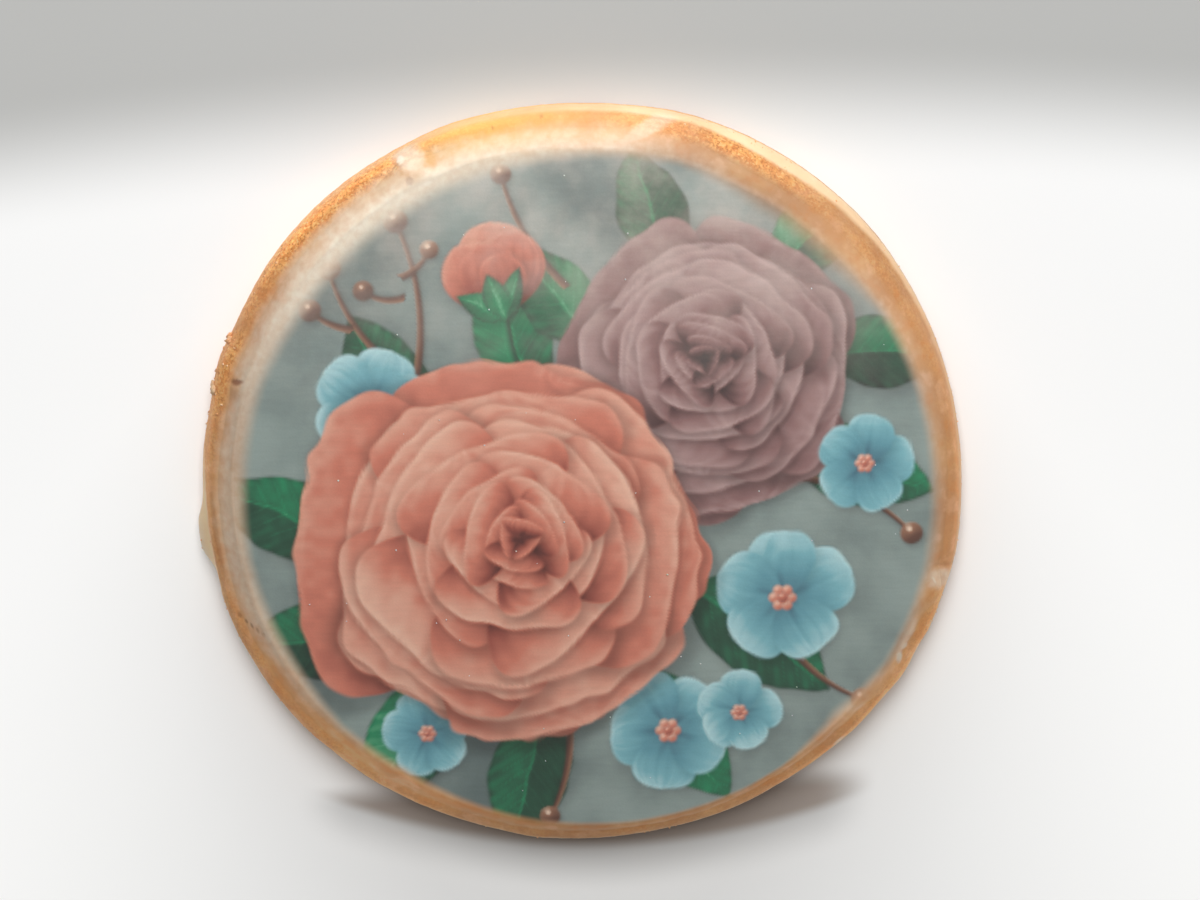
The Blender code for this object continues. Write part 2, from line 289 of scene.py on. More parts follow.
# Angle, the height in millimetres down to which the wall is browned, how pale it is below that, how light
# the pale wall is, which is painted light and shade, lighter on the lump in shade and darker where the light
# falls strongly, and over how many millimetres the one turns into the other.
PALE_ROUND = (
    (2, 4.2, 0.35, 1, 0.9), (21, 3.8, 0.5, 1, 0.9), (34, 3.5, 0.75, 1, 0.6), (46, 3.6, 1, 0.94, 0.8),
    (58, 4.1, 1, 0.97, 0.7), (74, 3.7, 0.9, 1.04, 0.8), (90, 4.2, 0.6, 1.12, 1.3),
    (112, 4.2, 0.4, 1.04, 1.7), (123, 3.6, 0.3, 1, 1.2), (148, 3.4, 0.2, 1, 0.9), (172, 3, 0.12, 1, 0.8),
    (182, 4.4, 0.9, 1.18, 0.5), (194, 4.5, 0.9, 1.18, 0.5), (201, 4.2, 0.3, 1, 0.8),
    (235, 4.3, 0.35, 1, 0.9), (247, 4.4, 0.9, 1, 1), (316, 4.4, 0.9, 1, 1), (330, 4.4, 0.7, 1, 0.9),
    (340, 4.2, 0.3, 1, 0.9), (352, 4.3, 0.4, 1, 0.9),
)
# Streaks and patches of thicker icing, and at 314 degrees a painted highlight along the edge: angle, half
# width, from, to, turn for each millimetre inwards, how white, how proud in millimetres.
WHITE_PATCHES = (
    (117.6, 2.2, -0.7, 2.4, -0.4, 0.72, 0.05), (118.9, 0.8, 0, 0.9, 0, 1, 0.06),
    (80.4, 1.8, -2, 4.4, 2, 0.46, 0.05), (345.2, 1.6, -0.2, 2.4, 0, 0.5, 0.08),
    (344.9, 0.3, 1.1, 1.8, 1.5, 0.85, 0.03), (331.2, 0.8, 1.1, 1.9, 1.2, 0.9, 0.05),
    (333.2, 0.6, 1.3, 1.9, 0, 0.7, 0.03), (334.6, 3.2, 1.4, 2.4, 0, 0.45, 0.04),
    # A painted highlight along the edge, on a slight ridge.
    (314.1, 1.2, 0.1, 0.5, 0, 0.6, 0.03),
)
# Cracks, pits and shadowed edges: the same, with how dark and how deep.
DARK_MARKS = (
    (201.4, 0.45, 1, 1.4, 0, 0.4, 0.05), (202.6, 0.4, 1.5, 1.8, 0, 0.45, 0.06),
    (203.5, 0.5, 1.9, 2.2, 0, 0.5, 0.06), (204.5, 0.4, 2.3, 2.6, 0, 0.36, 0.04),
    (205.3, 0.45, 2.7, 3, 0, 0.5, 0.07), (163.2, 0.5, 1.7, 2.9, -0.7, 0.72, 0.12),
    (165.3, 1.2, 1.4, 2.5, -0.6, 0.05, 0.04), (188.2, 6, 0.5, 1.1, 0, 0.24, 0.02),
    (347.4, 0.3, -0.2, 2, 0, 0.14, 0.04), (119, 0.7, 2.2, 3.1, 0, 0.28, 0.05),
    (96.4, 0.22, 0, 0.5, 0, 0.3, 0.03), (104, 0.22, 0.4, 0.9, 0, 0.35, 0.03),
)
# Patches where the icing left the crust bare: the same, with how bare.
BARE_PATCHES = (
    (165.6, 2, -0.1, 2.8, -0.8, 0.6), (115, 1.3, -0.1, 2.5, -0.3, 0.65), (170.5, 2.5, 1.2, 2.4, 0, 0.35),
)
# Painted golden light at the top of the rim, where the light falls strongest: angle, half width, how golden.
LIT_GOLD = ((107, 12, 0.9),)
# Where the wall's lump is iced: the same.
ICED_LUMP = ((190, 5, 0.75),)
# Where and over what length the finish changes: by height for the foot and the top, the rest inwards.
FOOT_BROWNED = (1.8, 0.8)
TOP_FINISH = (2.4, 1.6)
FURTHER_IN = (0.4, 1.4)
OPEN_BAND = (1.9, 1.2)
OUTERMOST_BAND = (0.7, 0.45)
NEXT_TO_PRINT = (1.8, 1.4)
# Changes to the wall and to the edge that are too small for the solid: angle, half width, how far out.
WALL_DETAIL = (
    (186.3, 2, 0.0003), (194.3, 2.6, -0.00065),
)
EDGE_DETAIL = (
    (28, 14, 0.00012), (41, 8, 0.00018), (75, 9, 0.00022), (111, 6, 0.00016), (268, 9, 0.00012),
    (303, 6, -0.00012), (329, 4.5, 0.00036), (318, 5, 0.00016), (349, 5, 0.00018), (336, 1.3, 0.0001),
)


def ease(share):
    """0 to 1 with flat ends."""
    share = np.clip(share, 0, 1)
    return share * share * (3 - 2 * share)


def past(value, start, length):
    """0 up to the start, then rising smoothly to 1 over that length."""
    return ease((value - start) / length)


def short_of(value, end, length):
    """0 from the end on, rising smoothly to 1 over that length before it."""
    return ease((end - value) / length)


def bell(share):
    """1 at 0, falling smoothly to nearly 0 at 2."""
    return np.exp(-(share**2))


def half_turn(angle):
    """The same angle, from -180 to 180."""
    return (angle + 180) % 360 - 180


def humps(angle, table, column=2):
    """Smooth humps at a table's angles, with its half widths, as high as that column says."""
    return sum(row[column] * bell(half_turn(angle - row[0]) / row[1]) for row in table)


# ---- The shape rules that the solids follow. ----

_turns = np.linspace(0, math.pi / 2, 256)
_shoulder_r = FLAT_RADIUS + SHOULDER_WIDTH * np.sin(_turns)
_shoulder_z = BISCUIT_HEIGHT - SHOULDER_DROP * (1 - np.cos(_turns))
_steps = np.hypot(np.diff(_shoulder_r), np.diff(_shoulder_z))
_shoulder_s = FLAT_RADIUS + np.concatenate(([0], np.cumsum(_steps)))
WALL_START = _shoulder_s[-1]


def skin(along):
    """Radius and height of the biscuit's skin at that distance along it, and the skin's normal there."""
    turn = np.interp(along, _shoulder_s, _turns)
    radius = np.minimum(along, FLAT_RADIUS) + SHOULDER_WIDTH * np.sin(turn)
    height = BISCUIT_HEIGHT - SHOULDER_DROP * (1 - np.cos(turn))
    height = height - np.maximum(along - WALL_START, 0)
    out = SHOULDER_DROP * np.sin(turn)
    up = SHOULDER_WIDTH * np.cos(turn)
    size = np.hypot(out, up)
    return radius, height, out / size, up / size


def outline(angle):
    """How far the browned edge stands out from a true circle."""
    out = sum(high * np.cos(np.radians(n * (angle - at))) for n, high, at in OUTLINE_WAVES)
    return out + humps(angle, EDGE_MARKS + EDGE_DETAIL)


def wall_bulge(angle):
    """How much further out the pale wall stands."""
    return WALL_BULGE + humps(angle, WALL_MARKS + WALL_DETAIL)


def top_swell(x, y):
    """How far the top stands above level."""
    return sum(
        high * np.sin(2 * math.pi * (nx * x + ny * y) / (2 * COOKIE_RADIUS) + math.radians(at))
        for nx, ny, high, at in TOP_WAVES
    )


def icing_depth(share, angle):
    """How thick the icing is, at that share of the way from the printed sheet to the icing's edge."""
    start = 0.05 + humps(angle, (THICK_MARGIN,))
    runs = humps(angle, ICING_RUNS, 3)
    left = 1 + (EDGE_SHARE + 0.5 * runs - 1) * past(share, start, 1 - start)
    down = np.clip((share - NOSE_START) / NOSE_LENGTH, 0, 1)
    return ICING_TOP * left * np.sqrt(np.clip(1 - down**2, 0, 1))


def icing_edge(angle):
    """Distance along the skin at which the icing ends."""
    wander = swells(from_polar(COOKIE_RADIUS, angle, 0 * angle), ICING_WANDER, 41)
    return ICING_REACH - humps(angle, BARE_ARCS) + humps(angle, ICING_RUNS) + wander


def polar(points):
    """Distance from the cookie's middle, and angle."""
    angle = np.degrees(np.arctan2(points[..., 1], points[..., 0]))
    return np.hypot(points[..., 0], points[..., 1]), angle


def from_polar(radius, angle, height):
    turn = np.radians(angle)
    return np.stack((radius * np.cos(turn), radius * np.sin(turn), height), axis=-1)


def lay_on_skin(points):
    """Wraps a flat shape over the biscuit: its radius becomes distance along the skin."""
    along, angle = polar(points)
    radius, height, out, up = skin(along)
    return from_polar(radius + out * points[..., 2], angle, height + up * points[..., 2])


def bake(points):
    """Takes true turned shapes to the cookie's own outline, wall and unlevel top."""
    radius, angle = polar(points)
    height = points[..., 2]
    near_edge = past(radius, STEADY_RADIUS, COOKIE_RADIUS - STEADY_RADIUS)
    below_edge = short_of(height, WALL_BULGE_TOP, WALL_BULGE_TOP - WALL_BULGE_FULL)
    radius = radius + (outline(angle) + wall_bulge(angle) * below_edge) * near_edge
    swell = top_swell(points[..., 0], points[..., 1]) * ease(height / BISCUIT_HEIGHT)
    return from_polar(radius, angle, height + swell)


def by_angle(angle, table):
    """The values at that angle of a table that goes round the cookie, column by column."""
    spots, *columns = zip(*table)
    return [np.interp(angle % 360, spots, column, period=360) for column in columns]


def inward(points):
    """Millimetres in from the browned edge, as seen from above."""
    radius, angle = polar(points)
    return (COOKIE_RADIUS + outline(angle) - radius) * 1000


def patch(angle, inside, mark):
    """1 in a streak or patch of the tables above, 0 outside it."""
    centre, wide, start, end, turn = mark[:5]
    angle, inside = np.broadcast_arrays(angle, inside)
    across = half_turn(angle - centre - turn * (inside - (start + end) / 2))
    along = (2 * inside - start - end) / (end - start)
    near = (np.abs(across) < 2 * wide + 0.6) & (np.abs(along) < 2)
    place = np.stack((angle[near] / 1.3, inside[near] / 0.6, np.full(near.sum(), centre)), axis=-1)
    wander = 0.25 * rough(place * 2, 1, 67)
    far = np.hypot((across[near] + wander) / wide, along[near]) + 0.22 * rough(place, 1, 61)
    share = np.zeros(angle.shape)
    share[near] = 1 - past(far, 0.55, 0.9)
    return share


def patches(angle, inside, table, column):
    """All the patches of a table, each as strong as that column says."""
    return sum(mark[column] * patch(angle, inside, mark) for mark in table)


def whiteness(angle, inside):
    """How white the icing looks, from 0, clear, to 1."""
    start, full, most, _ = by_angle(angle, WHITE_ROUND)
    place = from_polar(COOKIE_RADIUS - inside / 1000, angle, 0 * inside)
    blotched = inside + 0.45 * rough(place, 0.0022, 77) + 0.25 * rough(place, 0.0008, 79)
    white = most * np.clip((blotched - start) / (full - start), 0, 1)
    for mark in BARE_PATCHES:
        white = white * (1 - mark[5] * patch(angle, inside, mark))
    for mark in WHITE_PATCHES:
        white = np.maximum(white, mark[5] * patch(angle, inside, mark))
    return white


def mark_relief(points):
    """How far patches stand up and cracks go down, in metres."""
    angle, inside = polar(points)[1], inward(points)
    return (patches(angle, inside, WHITE_PATCHES, 6) - patches(angle, inside, DARK_MARKS, 6)) / 1000


def rim_paint(points):
    """What the materials read at each point: how browned, white, dark and so on it is there, and the painted
    light and shade round the rim.
    """
    angle, inside, height = polar(points)[1], inward(points), points[..., 2] * 1000
    border, pale, pale_light, turning = by_angle(angle, PALE_ROUND)
    open_grain, at_edge, inner, outermost = by_angle(angle, CRUST_ROUND)
    inner_light = by_angle(angle, WHITE_ROUND)[-1]
    border = border + 0.16 * rough(points, 0.0016, 71) + 0.25 * rough(points, 0.007, 73)
    below = ease((border - height) / turning + 0.5) * pale
    foot = 0.9 * short_of(height, *FOOT_BROWNED)
    on_top = past(height, *TOP_FINISH)
    # The crust's lightness: its baked tone with painted light and shade.
    baked_and_lit = at_edge + (inner - at_edge) * past(inside, *FURTHER_IN)
    return {
        "browned": 1 - below * (1 - foot),
        "open_grain": open_grain * short_of(inside, *OPEN_BAND),
        "golden": humps(angle, LIT_GOLD),
        "baked_light": baked_and_lit * (1 + (outermost - 1) * short_of(inside, *OUTERMOST_BAND)),
        "pale_light": pale_light,
        "white": np.maximum(whiteness(angle, inside) * on_top, humps(angle, ICED_LUMP) * (1 - on_top)),
        "inner_light": 1 + (inner_light - 1) * past(inside, *NEXT_TO_PRINT),
        "dark": np.clip(patches(angle, inside, DARK_MARKS, 5), 0, 1) * on_top,
    }


# ---- Fine relief. ----


def scatter_number(cells, seed):
    """A fixed random number from 0 to 1 for each whole-numbered cell."""
    x, y, z = (cells[..., i].astype(np.int64) for i in range(3))
    mixed = (x * 73856093) ^ (y * 19349663) ^ (z * 83492791) ^ (seed * 2654435761)
    mixed = (mixed ^ (mixed >> 13)) & 0x7FFFFFFF
    mixed = (mixed * 1274126177) & 0x7FFFFFFF
    mixed = mixed ^ (mixed >> 16)
    return (mixed & 0xFFFFFF) / float(0xFFFFFF)


def lumps(points, size, seed):
    """Smooth random heights from -1 to 1 that change over about the given size."""
    place = points / size
    cell = np.floor(place)
    part = ease(place - cell)
    total = 0
    for corner in product((0, 1), repeat=3):
        x, y, z = (part[..., i] if corner[i] else 1 - part[..., i] for i in range(3))
        total = total + x * y * z * scatter_number(cell + corner, seed)
    return 2 * total - 1


def rough(points, size, seed, finer=3):
    """Lumps with finer lumps on them."""
    total = sum(lumps(points, size / 2**i, seed + i) / 1.7**i for i in range(finer))
    return total / sum(1 / 1.7**i for i in range(finer))


def swells(points, form, seed):
    """Rough relief of that height and width."""
    return form[0] * rough(points, form[1], seed)


def pits(points, size, seed, width=0.35):
    """1 inside small round pits, one to a cell at most, and 0 elsewhere."""
    place = points / size
    cell = np.floor(place)
    deepest = np.zeros(points.shape[:-1])
    for step in product((-1, 0, 1), repeat=3):
        near = cell + step
        spot = near + np.stack([0.2 + 0.6 * scatter_number(near, seed + i) for i in range(3)], -1)
        wide = width * (0.5 + scatter_number(near, seed + 3))
        apart = np.linalg.norm(place - spot, axis=-1)
        deepest = np.maximum(deepest, 1 - ease(apart / wide))
    return deepest


# ---- The flower print. ----


class FlowerPrint:
    """The print in the making: how much of each ink lies at each point, and how light it is there."""

    def __init__(self, x, y):
        self.x, self.y = x, y
        self.amount = {ink: np.zeros(len(x)) for ink in INKS}
        self.tone = {ink: np.full(len(x), 0.5) for ink in INKS}
        self.shadow = np.zeros(len(x))

    def near(self, x, y, reach):
        """The points within reach of a spot, and where they lie from it."""
        spots = np.flatnonzero(np.hypot(self.x - x, self.y - y) < reach)
        return spots, self.x[spots] - x, self.y[spots] - y

    def lay(self, ink, spots, cover, tone):
        """Covers what is below with an ink."""
        for other in INKS:
            self.amount[other][spots] *= 1 - cover
        below = self.amount[ink][spots]
        self.amount[ink][spots] = below + cover
        held = self.tone[ink][spots] * below + np.clip(tone, 0, 1) * cover
        self.tone[ink][spots] = held / np.maximum(below + cover, SMALL)
        self.shadow[spots] *= 1 - cover

    def shade(self, spots, share):
        """Darkens what is there by that share."""
        self.shadow[spots] = 1 - (1 - self.shadow[spots]) * (1 - share)

    def values(self):
        """What the material of the sheet reads."""
        for ink in INKS:
            yield ink, self.amount[ink]
            yield ink + "_tone", self.tone[ink]
        yield "shadow", self.shadow


def chance(*numbers):
    """A fixed random number from 0 to 1 for those three whole numbers."""
    return float(scatter_number(np.array(numbers), 7))


def heading(turn):
    """The way that an angle points, as x and y."""
    return math.cos(math.radians(turn)), math.sin(math.radians(turn))


def turned(x, y, turn):
    """Seen along the way that something points: how far ahead, and how far to its left."""
    ahead, aside = heading(turn)
    return x * ahead + y * aside, y * ahead - x * aside


def blade(ahead, aside, long, wide, base, tip):
    """How far inside a petal or leaf points lie, then how far along and across it, as shares."""
    along = np.clip(ahead / long, 0.01, 0.99)
    widest = base / (base + tip)
    half = wide * (along / widest) ** base * ((1 - along) / (1 - widest)) ** tip
    slope = half * (base / along - tip / (1 - along)) / long
    inside = (half - np.abs(aside)) / np.hypot(1, slope)
    beyond = np.maximum(np.maximum(-ahead, ahead - long), 0)
    return inside - beyond, ahead / long, np.clip(aside / half, -1, 1)


def sprout(art, x, y, turn, reach, seed):
    """The points near a petal or leaf: their numbers, a place for its noise, how far ahead and aside."""
    spots, px, py = art.near(x, y, reach)
    place = np.stack((px, py, np.full(len(px), 3.7 * seed)), axis=-1)
    return spots, place, *turned(px, py, turn)


def grown(art, spots, ahead, aside, turn, form, throw, drop, soft, stretch=1):
    """Lays a petal's or leaf's shadow, and tells how points lie in its form and how its side is lit."""
    long, wide, base, tip = form
    x, y = heading(PRINT_LIGHT + 180)
    away, left = turned(throw * x, throw * y, turn)
    fallen, _, _ = blade(stretch * (ahead - away), aside - left, long, 1.1 * wide, base, tip)
    art.shade(spots, drop * ease(fallen / 2 + soft))
    return *blade(ahead, aside, *form), heading(PRINT_LIGHT - turn)[1]


def petal(art, ink, x, y, turn, long, wide, low, high, seed, tip=0.36, drop=0.55):
    """A petal that is darker at its base, with a light lip, fine veins and a shadow below it."""
    spots, place, ahead, aside = sprout(art, x, y, turn, long * 1.2 + 1, seed)
    wave = lumps(place, 2.6, 5)
    along = np.clip(ahead / long, 0, 1)
    ahead = ahead + 0.035 * wave * along * long
    aside = aside + 0.05 * long * lumps(place, 3.4, 6) * along
    form = (long, wide, 0.75, tip)
    inside, along, side, lit = grown(art, spots, ahead, aside, turn, form, 0.6, drop, 0.35, 0.96)
    veins = lumps(np.stack((side * 5, along * 0.9, np.full(len(side), 1.3 * seed)), axis=-1), 0.55, 9)
    lip = bell(inside / (0.05 * long + 0.15)) * past(along, 0.45, 0.3)
    fold = bell((side + 0.15 * wave) / 0.16) * (1 - past(along, 0.2, 0.7))
    tone = low + (high - low) * past(along, 0.05, 0.95)
    tone = tone + 0.1 * side * lit + 0.07 * veins * ease(along * 1.6) + 0.1 * lip - 0.16 * fold
    art.lay(ink, spots, ease(inside / PRINT_SOFTNESS + 0.5), tone + 0.06 * lumps(place, 1.1, 12))


def bloom(art, ink, x, y, size, lean, seed):
    """A full flower seen from above. Its heart leans to one side."""
    for number, (share, petals, low, high, tip) in enumerate(BLOOM_RINGS):
        far = 1 - share
        for k in range(petals):
            pick, other = chance(seed, number, k), chance(seed + 50, number, k)
            turn = 137.5 * number + 360 * (k + 0.5 * (pick - 0.5)) / petals + 23 * seed
            long = size * share * (0.9 + 0.18 * other)
            wide = long * min(math.sin(math.pi / petals) * 1.22, 1) * (0.92 + 0.2 * pick)
            light = 0.1 * (pick - 0.5)
            petal(art, ink, x + far * lean[0], y + far * lean[1], turn, long, wide, low + 0.6 * light,
                  high + light, 100 * seed + 10 * number + k, tip)


def leaf(art, x, y, turn, long, wide, tone, bend, seed):
    """A pointed leaf with a light rib and side veins."""
    spots, place, ahead, aside = sprout(art, x, y, turn, long * 1.15 + 1, seed)
    along = np.clip(ahead / long, 0, 1.1)
    aside = aside - bend * long * along**2 + 0.35 * lumps(place, 2.2, 15) * ease(along * 3)
    form = (long, wide, 0.62, 0.85)
    inside, along, side, lit = grown(art, spots, ahead, aside, turn, form, 0.7, 0.45, 0.3)
    rib = bell(aside / (0.26 - 0.16 * np.clip(along, 0, 1))) * short_of(along, 0.97, 0.2)
    spacing = long / 8
    run = (ahead - 0.95 * np.abs(aside)) / spacing + 0.12 * lumps(place, 3, 17)
    off_vein = np.abs(run - np.round(run)) * spacing
    vein = bell(off_vein / 0.16) * short_of(np.abs(side), 0.95, 0.4) * past(along, 0.04, 0.1)
    tone = tone + 0.16 * np.sign(side) * lit * ease(np.abs(aside) / 0.5)
    tone = tone - 0.07 * np.cos(2 * math.pi * run) * np.abs(side) + 0.22 * rib + 0.1 * vein
    tone = tone + 0.1 * lumps(place, 2.4, 19) + 0.05 * lumps(place, 0.8, 20)
    art.lay("leaf", spots, ease(inside / PRINT_SOFTNESS + 0.5), tone - 0.1 * ease(1 - 2 * inside))


def stem(art, x, y, to_x, to_y, sag, thick=0.45, ink="twig"):
    """A thin bent stem between two spots, thinner at its end."""
    long = math.hypot(to_x - x, to_y - y)
    spots, px, py = art.near((x + to_x) / 2, (y + to_y) / 2, long / 2 + abs(sag) + 2)
    ahead, aside = turned(px, py, math.degrees(math.atan2(to_y - y, to_x - x)))
    ahead = ahead / long + 0.5
    along = np.clip(ahead, 0, 1)
    aside = aside - 4 * sag * along * (1 - along)
    ends = ease(ahead / 0.02) * ease((1 - ahead) / 0.02)
    half = thick * (1 - 0.5 * along)
    art.shade(spots, 0.25 * ends * ease((half + 0.4 - np.abs(aside + 0.3)) / 0.6))
    cover = ends * ease((half - np.abs(aside)) / PRINT_SOFTNESS + 0.5)
    art.lay(ink, spots, cover, 0.45 + 0.25 * aside / half)


def berry(art, x, y, size, tone, ink="twig"):
    """A round berry with a small shine."""
    spots, px, py = art.near(x, y, size * 2 + 1)
    art.shade(spots, 0.4 * ease((size * 1.35 - np.hypot(px - 0.35, py + 0.5)) / 0.9))
    lit_x, lit_y = heading(PRINT_LIGHT)
    round_side = (px * lit_x + py * lit_y) / size
    shine = np.hypot(px / size - 0.4 * lit_x, py / size - 0.4 * lit_y) / 0.26
    tone = tone + 0.28 * round_side + 0.5 * bell(shine)
    art.lay(ink, spots, ease((size - np.hypot(px, py)) / PRINT_SOFTNESS + 0.5), tone)


def small_flower(art, x, y, size, turn, tone, seed):
    """Five round petals, and a heart of one bead with six round it."""
    for k in range(5):
        pick = chance(seed, 3, k)
        long = size * (0.93 + 0.14 * pick)
        petal(art, "sky", x, y, turn + 72 * k + 10 * (pick - 0.5), long, size * 0.5, tone - 0.25,
              tone + 0.3, 10 * seed + k, 0.42, 0.4)
    bead, far = 0.075 * size, 0.13 * size
    for k in range(6):
        bead_x, bead_y = heading(60 * k)
        berry(art, x + far * bead_x, y + far * bead_y, bead, 0.75, "peach")
    berry(art, x, y, bead, 0.5, "peach")


def bud(art, x, y, seed):
    """A bud on its stem: petals, then the small leaves that hold them."""
    stem(art, x + 2.6, y - 9.5, x, y + 2.5, 0.8, 0.6, "leaf")
    for k, (turn, long) in enumerate(BUD_PETALS):
        petal(art, "peach", x, y, turn, long, 0.42 * long, 0.15, 0.75 - 0.06 * k, seed + k, 0.5)
    for k, (turn, long) in enumerate(BUD_LEAVES):
        leaf(art, x, y - 0.7, turn, long, 1.3, 0.5, 0.1, seed + 50 + k)


def flower_print(x, y):
    """Leaves lie lowest, then twigs and berries, and the largest bloom on top."""
    art = FlowerPrint(x, y)
    for number, row in enumerate(LEAVES):
        leaf(art, *row, 40 + 3 * number)
    for row in TWIGS:
        stem(art, *row)
    for row in BERRIES:
        berry(art, *row)
    bloom(art, *DUSKY_BLOOM)
    for number, row in enumerate(SMALL_FLOWERS):
        small_flower(art, *row, 21 + number)
    bud(art, *BUD)
    bloom(art, *PEACH_BLOOM)
    return art


# ---- Making pieces out of rings of points. ----


def put(name, data):
    """A new object in the scene."""
    thing = bpy.data.objects.new(name, data)
    scene.collection.objects.link(thing)
    return thing


def add_piece(name, points, faces, material, values=()):
    """A smooth mesh piece. Values are (name, number for each point), which its material reads."""
    mesh = bpy.data.meshes.new(name)
    mesh.from_pydata(points, [], faces)
    for value_name, numbers in values:
        layer = mesh.attributes.new(value_name, "FLOAT", "POINT")
        layer.data.foreach_set("value", numbers.astype(np.float32))
    mesh.update()
    mesh.shade_smooth()
    mesh.materials.append(material)
    return put(name, mesh)


def ring_quads(grid):
    """Quads between rings of points, given by the points' numbers."""
    after = np.roll(grid, -1, axis=1)
    quads = np.stack((grid[:-1], grid[1:], after[1:], after[:-1]), axis=-1).reshape(-1, 4)
    return [*map(tuple, quads.tolist())]


def ring_faces(rings, steps):
    """Quads between rings, and a fan onto one last point at each end: first ring up, last down."""
    first, last = rings * steps, rings * steps + 1
    grid = np.arange(first).reshape(rings, steps)
    top, bottom = ([*zip(ring.tolist(), np.roll(ring, -1).tolist())] for ring in (grid[0], grid[-1]))
    return [*ring_quads(grid), *((first, a, b) for a, b in top), *((last, b, a) for a, b in bottom)]


def closed_rings(grid):
    """Rings of points or numbers in one row, then the mean of the first ring and of the last."""
    ends = np.stack((grid[0].mean(axis=0), grid[-1].mean(axis=0)))
    return np.concatenate((grid.reshape(-1, *grid.shape[2:]), ends))


def ringed_shape(grid, paints):
    """Points, faces and paints of a closed shape, from those of its rings."""
    paints = {name: closed_rings(numbers) for name, numbers in paints.items()}
    return closed_rings(grid), ring_faces(*grid.shape[:2]), paints


def disc(rings):
    """A flat disc of even triangles: rings of 6, 12, 18 ... points round a middle one, out to radius 1."""
    radius = np.concatenate([[0]] + [np.full(6 * k, k / rings) for k in range(1, rings + 1)])
    angle = np.concatenate([[0]] + [np.arange(6 * k) * 60 / k for k in range(1, rings + 1)])
    faces = []
    for k in range(rings):
        outer = 3 * k * (k + 1) + 1 + np.arange(6 * (k + 1) + 1) % (6 * (k + 1))
        inner = 3 * k * (k - 1) + 1 + np.arange(6 * k + 1) % (6 * k) if k else np.zeros(1, int)
        for sixth in range(6):
            a = outer[sixth * (k + 1):(sixth + 1) * (k + 1) + 1]
            b = inner[sixth * k:(sixth + 1) * k + 1]
            faces += zip(b.tolist(), a[:-1].tolist(), a[1:].tolist())
            faces += zip(b[:-1].tolist(), a[1:-1].tolist(), b[1:].tolist())
    return radius, angle, faces


def surface_normals(grid):
    """Outward normals of rings of points."""
    round_way = np.roll(grid, -1, axis=1) - np.roll(grid, 1, axis=1)
    down_way = np.gradient(grid, axis=0)
    normal = np.cross(down_way, round_way)
    return normal / np.maximum(np.linalg.norm(normal, axis=-1, keepdims=True), SMALL)


# ---- Materials. ----


class Wire:
    """One output in a material's nodes. Sums on wires add Math nodes."""

    def __init__(self, tree, socket=None):
        self.tree = tree
        self.socket = socket

    def add(self, kind, settings=None, inputs=None, output=0):
        """Any other node: its settings first, then the values or wires of its sockets."""
        node = self.tree.nodes.new("ShaderNode" + kind)
        settings = dict(settings or {})
        for number, (at, colour) in enumerate(settings.pop("stops", ())):
            if number > 1:
                node.color_ramp.elements.new(1)
            node.color_ramp.elements[number].position = at
            node.color_ramp.elements[number].color = colour
        for name, value in settings.items():
            setattr(node, name, value)
        for name, value in (inputs or {}).items():
            if isinstance(value, Wire):
                self.tree.links.new(value.socket, node.inputs[name])
            else:
                node.inputs[name].default_value = value
        return Wire(self.tree, node.outputs[output])

    def maths(self, operation, first, second):
        return self.add("Math", {"operation": operation}, {0: first, 1: second})

    def __add__(self, other):
        return self.maths("ADD", self, other)

    def __sub__(self, other):
        return self.maths("SUBTRACT", self, other)

    def __rsub__(self, other):
        return self.maths("SUBTRACT", other, self)

    def __mul__(self, other):
        return self.maths("MULTIPLY", self, other)

    __radd__ = __add__
    __rmul__ = __mul__

    def rise(self, low, high):
        """A smooth step: 0 up to low, 1 from high on."""
        limits = {"Value": self, "From Min": low, "From Max": high}
        return self.add("MapRange", {"interpolation_type": "SMOOTHSTEP"}, limits)

    def axis(self, number):
        """One of the three numbers of a place: 0 for X, 1 for Y, 2 for Z."""
        return self.add("SeparateXYZ", None, {0: self}, output=number)

    def noise(self, scale, detail=3):
        """Noise at this place, so many to the metre."""
        return self.add("TexNoise", None, {"Vector": self, "Scale": scale, "Detail": detail})

    def painted(self, name):
        """What the mesh itself carries by that name."""
        return self.add("Attribute", {"attribute_name": name}, output="Fac")

    def bump(self, strength, distance):
        """The relief of these heights."""
        return self.add("Bump", None, {"Height": self, "Strength": strength, "Distance": distance})

    def between(self, first, second):
        """The first colour where this is 0, the second where it is 1. Its colour sockets go by number."""
        return self.add("Mix", {"data_type": "RGBA"}, {0: self, 6: first, 7: second}, output=2)

    def scaled(self, share):
        """This colour, lighter or darker."""
        return self.add("VectorMath", {"operation": "SCALE"}, {0: self, "Scale": share})

    def plus(self, other):
        """The sum of two colours."""
        return self.add("VectorMath", {"operation": "ADD"}, {0: self, 1: other})

    def mix(self, other, share):
        """This colour, with the other laid over it by that share."""
        return share.between(self, other)


def new_finish(name, **constants):
    """A material, a wire with the place on the piece, and its shader node."""
    material = bpy.data.materials.new(name)
    material.use_nodes = True
    tree = material.node_tree
    shader = tree.nodes["Principled BSDF"]
    for socket, value in constants.items():
        shader.inputs[socket.replace("_", " ")].default_value = value
    return material, Wire(tree).add("TexCoord", output="Object"), shader


def feed(shader, **sockets):
    """Joins wires to the shader's sockets."""
    for socket, wire in sockets.items():
        wire.tree.links.new(wire.socket, shader.inputs[socket.replace("_", " ")])


def paint(red, green, blue, light=RIM_LIGHT):
    """A colour as it looks in that light, 0 to 255, as the share of light that it sends back."""
    def sent(value):
        share = value / 255
        share = share / 12.92 if share <= 0.04045 else ((share + 0.055) / 1.055) ** 2.4
        return min(share / light, 0.95)
    return (sent(red), sent(green), sent(blue), 1)


